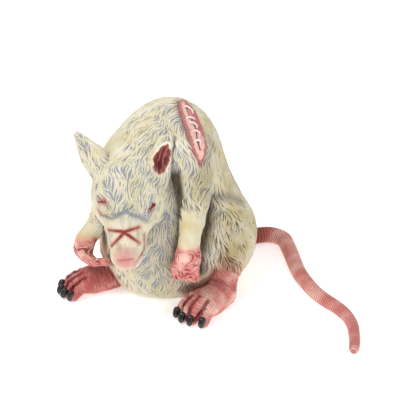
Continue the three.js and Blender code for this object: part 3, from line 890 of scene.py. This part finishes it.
def headPaint(points, normals, crest):
    def near(key, width):
        return nearPath(points, onFace[key], width)

    closed = shade(points, normals, 6.0)
    local = toLocal(points, headPlace)
    hollow = np.minimum(*[h(points) for h in earHollows])
    inEar = clamp((1.1 - hollow) / 0.5)
    ridges = clamp(waves(local * [1, 0.2, 1], 3.6, 44) * 1.5)
    nose = clamp(1.3 - gapTo(points, noseAt) / 13)
    scars = np.maximum(*[np.exp(-((np.clip(s(points), 0, None) / 0.6) ** 2)) for s in scarStrokes])
    pink = np.maximum.reduce([
        nose, near("scarA", 2.2) * 0.8, near("scarB", 2.2) * 0.8, near("eyeRight", 3.0),
        near("underRight", 1.8), near("mouth", 2.2) * 0.8, inEar,
    ])
    red = np.maximum.reduce([
        scars, near("noseLine", 0.8), near("eyeLeft", 2.0), near("mouth", 1.0) * 0.7, inEar * 0.5
    ])
    # the ears' insides are painted dark red, deepening further in as painted shade
    sunk = clamp(-np.minimum(*[shell(points) for shell in earShells]) / 4.5)
    deep = np.maximum(inEar * (0.5 + 0.5 * sunk) * (1 - 0.85 * ridges), near("lidLeft", 0.7))
    blue = clamp(0.85 + 0.3 * waves(points, 40, 5))
    onMuzzle = clamp((-local[:, 1] - 55) / 15)
    crest = clamp(crest * (1 - 0.8 * near("crease", 1.8)) + onMuzzle * 0.05)
    streaks = onMuzzle * clamp(waves(local * [1, 0.12, 0.6], 4.5, 45)) * 0.3
    # painted shade where the head is enclosed, with the muzzle's painted streaks; none inside the ears
    dark = np.clip(np.maximum((closed - 0.45) * 1.3, streaks), 0, 0.9) * (1 - inEar)
    return masksOf(
        len(points), crest=crest, blue=blue, pink=pink, red=red, deep=deep, dark=dark, pale=nose * 0.6
    )


points, quads = surfaceNet(headField, (-85, -145, 40), (60, -10, 176), 0.85)
local = toLocal(points, headPlace)
bareEar = clamp(1 - np.abs(np.minimum(*[h(points) for h in earHollows]) - 1.5) / 2.5)
muzzleBare = clamp((-local[:, 1] - 56) / 8)
skinCrest = 0.08 + 0.92 * np.maximum(bareEar, muzzleBare * 0.4)
skinPaint = headPaint(points, normalsOf(headField, points), skinCrest)
headSkin = makeObject("headSkin", points, quads, furLatex, skinPaint)
handOver(headSkin, ("head", "ear_left", "ear_right"))
print("head skin", len(quads))

earFront = {side: np.array(ears[side]["tip"], float) - ears[side]["root"] for side in sides}


def headFlow(points, normals):
    local = toLocal(points, headPlace)
    way = np.stack([0.25 * local[:, 0] / 30, np.ones(len(points)), 0.15 * np.ones(len(points))], 1)
    for side, shell in zip(sides, earShells):
        close = clamp(1 - shell(points) / 4)[:, None]
        way = way * (1 - close) + close * earFront[side] / np.linalg.norm(earFront[side])
    turn = np.array(headPlace)[:3, :3]
    return way @ turn.T


def headKeep(points):
    local = toLocal(points, headPlace)
    clear = (torsoField(points) > -2) & (local[:, 1] > -91) & (gapTo(points, noseAt) > 8)
    for hollow in earHollows:
        clear &= hollow(points) > 2.2
    for key, path in onFace.items():
        if key != "noseLine":
            clear &= nearPath(points, path, 1.0) < 0.05
    return clear


def furOfHead(points):
    return headKeep(points) & (toLocal(points, headPlace)[:, 1] > -56)


def shortFurOfMuzzle(points):
    return headKeep(points) & (toLocal(points, headPlace)[:, 1] <= -54)


for name, keep in (("headCoat", furOfHead), ("muzzleCoat", shortFurOfMuzzle)):
    roots = strokeRoots(headField, points, quads, coats[name]["spacing"], keep)
    growStrokes(name, headField, roots, headFlow, headPaint, ("head",))


# forearms and hands

hands = {
    "cell": 0.7,  # mm
    "padPixels": {"left": (184.6, 259), "right": (82, 248)},
    "foldsApart": 3.3,
    "hairsApart": 1.9,
}
padAt = {side: seenAt(handFields[side], [hands["padPixels"][side]])[0] for side in sides}


def handFolds(points, side):  # folds round the left palm's pad, and along the curled fingers of the right
    away = gapTo(points, padAt[side])
    if side == "right":
        away = (points[:, 0] * 0.35 + points[:, 2]) * 0.9
    rings = 0.5 + 0.5 * np.sin(2 * math.pi * (away + 2.4 * waves(points, 12, 61)) / hands["foldsApart"])
    folds = 0.5 * rings**2 * clamp(0.6 + waves(points, 10, 64)) + 0.3 * creases(points, 6, 21)
    return folds * (clamp((away - 4.0) / 2) if side == "left" else 1)


def sleeveLines(points):  # fine hair lines running down the forearm
    around = aside(points) + 1.2 * waves(points * [1, 1, 0.25], 9, 62)
    lines = (0.5 + 0.5 * np.sin(2 * math.pi * around / hands["hairsApart"])) ** 3
    return lines * clamp(waves(points, 9, 63) + 0.6)


def wrinkledHand(side):  # the arm's field with its folds and hair lines pressed in
    plain, palmHeight = armFields[side], arms[side]["palm"][2]

    def field(points):
        value = plain(points)
        near = np.abs(value) < 3
        close = points[near]
        bare = clamp((palmHeight + 14 - close[:, 2]) / 8)
        value[near] += bare * handFolds(close, side) + (1 - bare) * 0.3 * sleeveLines(close)
        return value

    return field


for side in sides:
    arm, wrinkled = arms[side], wrinkledHand(side)
    ends = [np.array(arm["palm"], float), arm["lower"][0][:3]]
    points, quads = surfaceNet(wrinkled, np.min(ends, axis=0) - 26, np.max(ends, axis=0) + 26, hands["cell"])
    bare = clamp((arm["palm"][2] + 16 - points[:, 2]) / 8)
    fold = clamp((wrinkled(points) - armFields[side](points)) / 0.6)
    closed = shade(points, normalsOf(wrinkled, points), 5.0)
    pad = np.exp(-(gapTo(points, padAt["left"]) / 5.0) ** 4)
    # painted shadow in a thin line where the sleeve's edge overlaps the forearm
    shadowUnderSleeve = 0.4 * np.exp(-((limb(arm["upper"])(points) / 1.2) ** 2))
    masks = masksOf(
        len(points),
        crest=1 - fold,
        pink=bare,
        pale=np.maximum(clamp(waves(points, 18, 9)), pad),
        red=bare * fold,
        # painted shade: dark red where the hand is enclosed
        deep=bare * np.clip(closed - 0.75, 0, 0.8),
        # painted shade on the forearm where enclosed and under the sleeve; the whole forearm a little darker
        # too
        dark=(1 - bare) * np.clip(np.maximum((closed - 0.3) * 1.3, shadowUnderSleeve), 0.2, 0.8),
    )
    skin = makeObject(f"{side}Forearm", points, quads, skinLatex, masks)
    handOver(skin, (f"forearm_{side}", f"hand_{side}"))
    print(side, "forearm", len(quads))


# hind feet with their claws

footLook = {
    "skinCell": 0.75,  # mm
    "clawCell": 0.6,
    "linesApart": 2.7,  # fine creases across the foot
    "ankleApart": 3.0,  # folds round the ankle
    "cleftWidth": 1.25,
    "cleftDepth": 2.2,
    "pale": {"left": 0.35, "right": 0.05},  # the right foot is painted darker
    "red": {"left": 0.15, "right": 0.8},
    "deep": {"left": 0.04, "right": 0.2},
}
# gloss black enamel, brushed on: wet-looking beads with small sharp lights
clawPaint, tree = newMaterial("glossBlackClawPaint")
finishMaterial(tree, {"Base Color": srgb("#0c0c0f"), "Roughness": 0.25, "IOR": 1.5, "Coat Weight": 0.3})


def creasedFoot(side, clefts):  # the foot's field with its creases and the clefts between its toes pressed in
    plain, ankle = feet[side][0], ankles[side]

    def field(points):
        value = plain(points)
        near = np.abs(value) < 3
        close = points[near]
        across = toLocal(close, footPlace[side])[:, 1] + 1.6 * waves(close, 15, 71)
        lines = np.sin(2 * math.pi * across / footLook["linesApart"])
        press = 0.4 * (0.5 + 0.5 * lines) ** 2 + 0.3 * creases(close, 7, 31)
        for cleft in clefts:
            press = press + footLook["cleftDepth"] * nearPath(close, cleft, footLook["cleftWidth"])
        around = ankle(close)
        rings = clamp(np.sin(around * 2 * math.pi / footLook["ankleApart"]))
        value[near] += press + 0.4 * rings * np.exp(-np.clip(around, 0, 20) / 9)
        return value

    return field


for side in sides:
    plain, claws, clefts = feet[side]
    clefts = [ontoSurface(plain, toWorld(cleft, footPlace[side])) for cleft in clefts]
    creased = creasedFoot(side, clefts)
    centre = toWorld((0, -30, 10), footPlace[side])[0]
    points, quads = surfaceNet(creased, centre - [48, 48, 16], centre + [48, 48, 34], footLook["skinCell"])
    fold = clamp(creased(points) - plain(points))
    cleftNear = np.max([nearPath(points, cleft, 2.0) for cleft in clefts], axis=0)
    closed = shade(points, normalsOf(creased, points), 5.0)
    redder = clamp(footLook["red"][side] + 0.5 * waves(points, 24, 6))
    masks = masksOf(
        len(points),
        crest=1 - fold * 0.9,
        pink=1.0,
        pale=clamp(footLook["pale"][side] + waves(points, 14, 8)),
        red=redder * 0.65 + fold * 0.3,
        # dark red paint in the clefts, with painted shade where the foot is enclosed
        deep=np.clip(cleftNear * 0.8 + (closed - 0.7) + footLook["deep"][side], 0, 0.9),
    )
    skin = makeObject(f"{side}Foot", points, quads, skinLatex, masks)
    handOver(skin, (f"foot_{side}",))
    clawField = onFloor(lambda p, claws=claws: np.minimum.reduce([claw(p) for claw in claws]), 0.8)
    points, quads = surfaceNet(clawField, centre - [48, 48, 16], centre + [48, 48, 20], footLook["clawCell"])
    piece = makeObject(f"{side}Claws", points, quads, clawPaint)
    handOver(piece, [f"claw_{side}_{n + 1}" for n in range(footSizes["toes"])])
    print(side, "foot and claws", len(quads))


# eyes: red gloss paint in narrow slits

eyeWidths = {"left": ("eyeLeft", 0.7, 1.9), "right": ("eyeRight", 0.9, 0.7)}  # mm at each end of the slit
# gloss red enamel: wet-looking, so that the slits catch a small light
eyePaint, tree = newMaterial("glossRedEyePaint")
finishMaterial(tree, {"Base Color": srgb("#7d0f12"), "Roughness": 0.2, "IOR": 1.5})
for side, (key, first, last) in eyeWidths.items():
    path = onFace[key]
    slitSolid = limbAlong(path, np.linspace(first, last, len(path)))
    points, quads = surfaceNet(slitSolid, path.min(0) - 4, path.max(0) + 4, 0.4)
    handOver(makeObject(f"{side}Eye", points, quads, eyePaint), (f"eye_{side}",))


# wound: a raised torn border round a smooth pink field with a slit along it

def woundPlace(points):  # share along the wound, and offset across it in mm, with the local half width
    best = np.full(len(points), np.inf)
    across = np.zeros(len(points))
    share = np.zeros(len(points))
    half = np.ones(len(points))
    for n in range(len(woundAt) - 1):
        a, b = woundAt[n], woundAt[n + 1]
        along = b - a
        t = clamp((points - a) @ along / (along @ along))
        offset = points - a - t[:, None] * along
        gap = np.linalg.norm(offset, axis=1)
        sideways = (woundAcross[n] + woundAcross[n + 1]) / 2
        closer = gap < best
        best = np.where(closer, gap, best)
        across = np.where(closer, offset @ sideways, across)
        share = np.where(closer, (n + t) / (len(woundAt) - 1), share)
        half = np.where(closer, woundHalf[n] + (woundHalf[n + 1] - woundHalf[n]) * t, half)
    past = (share < 0.001) | (share > 0.999)
    return share, across, half, np.where(past, best, np.abs(across))


def woundHeight(points):
    share, across, half, away = woundPlace(points)
    edge = half + 0.4 * waves(points, 5, 41) + 0.3 * waves(points, 2.6, 42)
    fromEdge = edge - away
    fromEnds = np.minimum(*[gapTo(points, woundAt[n]) for n in (0, -1)])
    rim = np.exp(-(((fromEdge - 0.9) / 0.9) ** 2))
    slit = nearPath(points, woundSlit, 0.75)
    height = wound["fieldHeight"] + (wound["borderHeight"] - wound["fieldHeight"]) * rim
    height = (height - wound["slitDepth"] * slit) * clamp(fromEnds / 2 + 0.3)
    return height, fromEdge, rim, slit, share, across


def woundField(points):
    above = bodyPlain(points)
    height, fromEdge, *_ = woundHeight(points)
    return np.maximum.reduce([above - height, -fromEdge * 0.8, -above - 1.6])


points, quads = surfaceNet(woundField, woundAt.min(0) - 9, woundAt.max(0) + 9, wound["cell"])
_, fromEdge, rim, slit, share, across = woundHeight(points)
flank = clamp(-across / 2) * clamp((0.62 - share) * 6)
woundMasks = masksOf(
    len(points),
    crest=0.9,
    pink=1.0,
    pale=clamp(1 - rim - flank),
    red=clamp(rim * 0.35 + slit * 0.5 + flank * 0.35),
    deep=np.clip(slit * 1.1 + (fromEdge < 0.5) * 0.45, 0, 0.9),
)
handOver(makeObject("tornWound", points, quads, skinLatex, woundMasks), ("wound",))
print("wound", len(quads))


# stitches: thick white paint-soaked thread laid across the wound, by Geometry Nodes along short curves

stitches = {
    "Thread Radius": 0.95,  # mm
    "Points": 12,
    "Profile Sides": 10,
    "ends": [  # in the picture, from the top down
        [(185.3, 107.6), (191.9, 113.4)],
        [(187, 118.6), (193.4, 120.2)],
        [(190.4, 123.6), (195.8, 128.2)],
        [(193.2, 132.4), (198.8, 136.2)],
        [(195.2, 142.2), (200.2, 143.4)],
    ],
    "shares": [-0.12, 0.1, 0.5, 0.9, 1.12],  # along the line between the ends
    "heights": [0.2, 2.4, 2.6, 2.4, 0.2],  # mm over the body there
}
# chalky white paint soaked into thread: dull, so it stays the lightest spot without a light on it
threadPaint, tree = newMaterial("chalkWhiteThreadPaint")
finishMaterial(tree, {"Base Color": srgb("#efe9e6"), "Roughness": 0.6, "IOR": 1.5})


def addSocket(tree, name, kind, way="INPUT"):
    return tree.interface.new_socket(name, in_out=way, socket_type=kind)


def setInputs(modifier, values):
    for item in modifier.node_group.interface.items_tree:
        if item.in_out == "INPUT" and item.name in values:
            modifier[item.identifier] = values[item.name]


def bakedMesh(thing):  # the evaluated result as a plain mesh, with the modifier gone
    bpy.context.view_layer.update()
    made = thing.evaluated_get(bpy.context.evaluated_depsgraph_get())
    mesh = bpy.data.meshes.new_from_object(made)
    thing.modifiers.clear()
    thing.data = mesh
    mesh.polygons.foreach_set("use_smooth", np.ones(len(mesh.polygons), bool))
    return thing


def lineObject(name, path):
    mesh = bpy.data.meshes.new(name)
    mesh.from_pydata([tuple(point * mm) for point in path], [(n, n + 1) for n in range(len(path) - 1)], [])
    thing = bpy.data.objects.new(name, mesh)
    bpy.context.scene.collection.objects.link(thing)
    return thing


def newNodeTree(name, **sockets):  # a Geometry Nodes tree with its inputs, and their sockets to link from
    tree = bpy.data.node_groups.new(name, "GeometryNodeTree")
    addSocket(tree, "Geometry", "NodeSocketGeometry")
    for label, kind in sockets.items():
        addSocket(tree, label, kind)
    addSocket(tree, "Geometry", "NodeSocketGeometry", "OUTPUT")
    return tree, addNode(tree, "NodeGroupInput").outputs


stitchTree, given = newNodeTree(
    "stitchMaker",
    **{"Thread Radius": "NodeSocketFloat", "Points": "NodeSocketInt", "Profile Sides": "NodeSocketInt"},
)
curve = addNode(stitchTree, "GeometryNodeMeshToCurve", inputs={"Mesh": given["Geometry"]})
curve = addNode(
    stitchTree, "GeometryNodeResampleCurve", inputs={"Curve": curve.outputs[0], "Count": given["Points"]}
)
ring = addNode(
    stitchTree, "GeometryNodeCurvePrimitiveCircle",
    inputs={"Resolution": given["Profile Sides"], "Radius": given["Thread Radius"]},
)
tube = addNode(
    stitchTree, "GeometryNodeCurveToMesh",
    inputs={"Curve": curve.outputs[0], "Profile Curve": ring.outputs[0], "Fill Caps": True},
)
whole = addNode(stitchTree, "GeometryNodeRealizeInstances", inputs={"Geometry": tube.outputs[0]})
painted = addNode(
    stitchTree, "GeometryNodeSetMaterial", inputs={"Geometry": whole.outputs[0], "Material": threadPaint}
)
addNode(stitchTree, "NodeGroupOutput", inputs={"Geometry": painted.outputs[0]})

for number, ends in enumerate(stitches["ends"], 1):
    a, b = seenAt(bodyPlain, ends)
    shares = np.linspace(stitches["shares"][0], stitches["shares"][-1], 9)
    arch = np.interp(shares, stitches["shares"], stitches["heights"])
    path = [ontoSurface(bodyPlain, (a + (b - a) * share)[None], high)[0] for share, high in zip(shares, arch)]
    thread = lineObject(f"thread{number}", path)
    modifier = thread.modifiers.new("stitch", "NODES")
    modifier.node_group = stitchTree
    setInputs(modifier, {**stitches, "Thread Radius": stitches["Thread Radius"] * mm})
    handOver(bakedMesh(thread), (f"stitch_{number}",))
print("stitches")


# tail: Geometry Nodes draw a ringed tube along its route on the floor

tailSizes = {
    "rootRadius": 8.6,  # mm
    "tipRadius": 4.3,
    "ringShares": [0, 0.25, 1],  # along the tail
    "ringSpacing": [4.2, 2.6, 2.1],  # mm there
    "pointsApart": 0.55,
    "Ring Depth": 0.05,  # as a share of the radius
    "Sides": 28,
    "route": [  # mm on the floor, from inside the body to the tip
        [28, 62], [47, 84], [61, 94.5], [76, 92], [88, 76.5], [99, 59], [108, 44], [119, 27.5],
        [130, 15], [144, 1], [158, -9], [170, -15.5], [183, -25.5], [192.5, -38], [199, -52.5],
        [204, -67.5], [207, -79.5],
    ],
}


def tailRadius(share):
    return tailSizes["rootRadius"] + (tailSizes["tipRadius"] - tailSizes["rootRadius"]) * share**1.4


def between(first, last, start, end, at):  # the place between two others, by where the third number lies
    return first * (end - at) / (end - start) + last * (at - start) / (end - start)


def throughPoints(turns, fine):  # a smooth centripetal curve through the given places
    turns = np.array(turns, float)
    turns = np.vstack([2 * turns[0] - turns[1], turns, 2 * turns[-1] - turns[-2]])
    out = []
    for n in range(1, len(turns) - 2):
        p = turns[n - 1 : n + 3]
        t = np.concatenate([[0], np.cumsum(np.linalg.norm(np.diff(p, axis=0), axis=1) ** 0.5)])
        for s in np.linspace(t[1], t[2], fine, endpoint=False):
            a = [between(p[i], p[i + 1], t[i], t[i + 1], s) for i in range(3)]
            b = [between(a[i], a[i + 1], t[i], t[i + 2], s) for i in range(2)]
            out.append(between(b[0], b[1], t[1], t[2], s))
    return np.vstack([out, turns[-2]])


route = throughPoints(tailSizes["route"], 12)
shares = np.linspace(0, 1, len(route))
lengths = np.concatenate([[0], np.cumsum(np.linalg.norm(np.diff(route, axis=0), axis=1))])
even = np.linspace(0, lengths[-1], int(lengths[-1] / tailSizes["pointsApart"]))
flat = np.stack([np.interp(even, lengths, route[:, k]) for k in (0, 1)], 1)
share = np.interp(even, lengths, shares)
toTip = lengths[-1] - even
rounding = np.minimum(1, 0.25 + np.sqrt(np.clip(toTip, 0, None) / tailSizes["rootRadius"]))
radius = tailRadius(share) * rounding
spacing = np.interp(share, tailSizes["ringShares"], tailSizes["ringSpacing"])
ringTurn = np.cumsum(np.gradient(even) / spacing) * 2 * math.pi
ringWave = 0.5 + 0.5 * np.sin(ringTurn + 0.6 * np.sin(even / 7))
tailPath = np.column_stack([flat, tailRadius(share) - 0.5])
tailLine = lineObject("ringedTail", tailPath)
for mask, values in (("radius", radius * mm), ("crest", ringWave), ("along", share)):
    layer = tailLine.data.attributes.new(mask, "FLOAT", "POINT")
    layer.data.foreach_set("value", values.astype(np.float32))

tailTree, given = newNodeTree("tailMaker", **{"Ring Depth": "NodeSocketFloat", "Sides": "NodeSocketInt"})
curve = addNode(tailTree, "GeometryNodeMeshToCurve", inputs={"Mesh": given["Geometry"]})
width = addNode(tailTree, "GeometryNodeInputNamedAttribute", {"data_type": "FLOAT"}, {"Name": "radius"})
wave = addNode(tailTree, "GeometryNodeInputNamedAttribute", {"data_type": "FLOAT"}, {"Name": "crest"})
swell = addNode(
    tailTree, "ShaderNodeMath", {"operation": "MULTIPLY_ADD"},
    {0: wave.outputs[0], 1: given["Ring Depth"], 2: 0.96},
)
ringed = addNode(
    tailTree, "ShaderNodeMath", {"operation": "MULTIPLY"}, {0: width.outputs[0], 1: swell.outputs[0]}
)
ring = addNode(
    tailTree, "GeometryNodeCurvePrimitiveCircle", inputs={"Resolution": given["Sides"], "Radius": 1.0}
)
links = {"Curve": curve.outputs[0], "Profile Curve": ring.outputs[0], "Scale": ringed.outputs[0]}
tube = addNode(tailTree, "GeometryNodeCurveToMesh", inputs={**links, "Fill Caps": True})
whole = addNode(tailTree, "GeometryNodeRealizeInstances", inputs={"Geometry": tube.outputs[0]})
painted = addNode(
    tailTree, "GeometryNodeSetMaterial", inputs={"Geometry": whole.outputs[0], "Material": skinLatex}
)
addNode(tailTree, "NodeGroupOutput", inputs={"Geometry": painted.outputs[0]})

modifier = tailLine.modifiers.new("tail", "NODES")
modifier.node_group = tailTree
setInputs(modifier, tailSizes)
tail = bakedMesh(tailLine)
count = len(tail.data.vertices)


def readValues(data, key, width):
    values = np.empty(count * width, np.float32)
    data.foreach_get(key, values)
    return values


co = readValues(tail.data.vertices, "co", 3).reshape(-1, 3)
co[:, 2] = np.maximum(co[:, 2], 0)  # nothing goes through the floor
tail.data.vertices.foreach_set("co", co.ravel())
along, ringTop = (readValues(tail.data.attributes[mask].data, "value", 1) for mask in ("along", "crest"))
uneven = waves(co / mm, 26, 51)
tailMasks = masksOf(
    count,
    pink=1.0,
    pale=clamp(0.3 + uneven * 0.6 + along * 0.3),
    red=np.clip(1.1 - along * 7, 0, 0.95) * (1 - 0.15 * ringTop) + 0.12 * clamp(-uneven),
    deep=np.clip(1.1 - along * 8, 0, 0.9) * (1 - 0.5 * ringTop),
)
for mask, values in tailMasks.items():
    if mask != "crest":
        tail.data.attributes.new(mask, "FLOAT", "POINT").data.foreach_set("value", values.astype(np.float32))
handOver(tail, [f"tail_{n}" for n in (1, 2, 3, 4)])
print("tail", count)
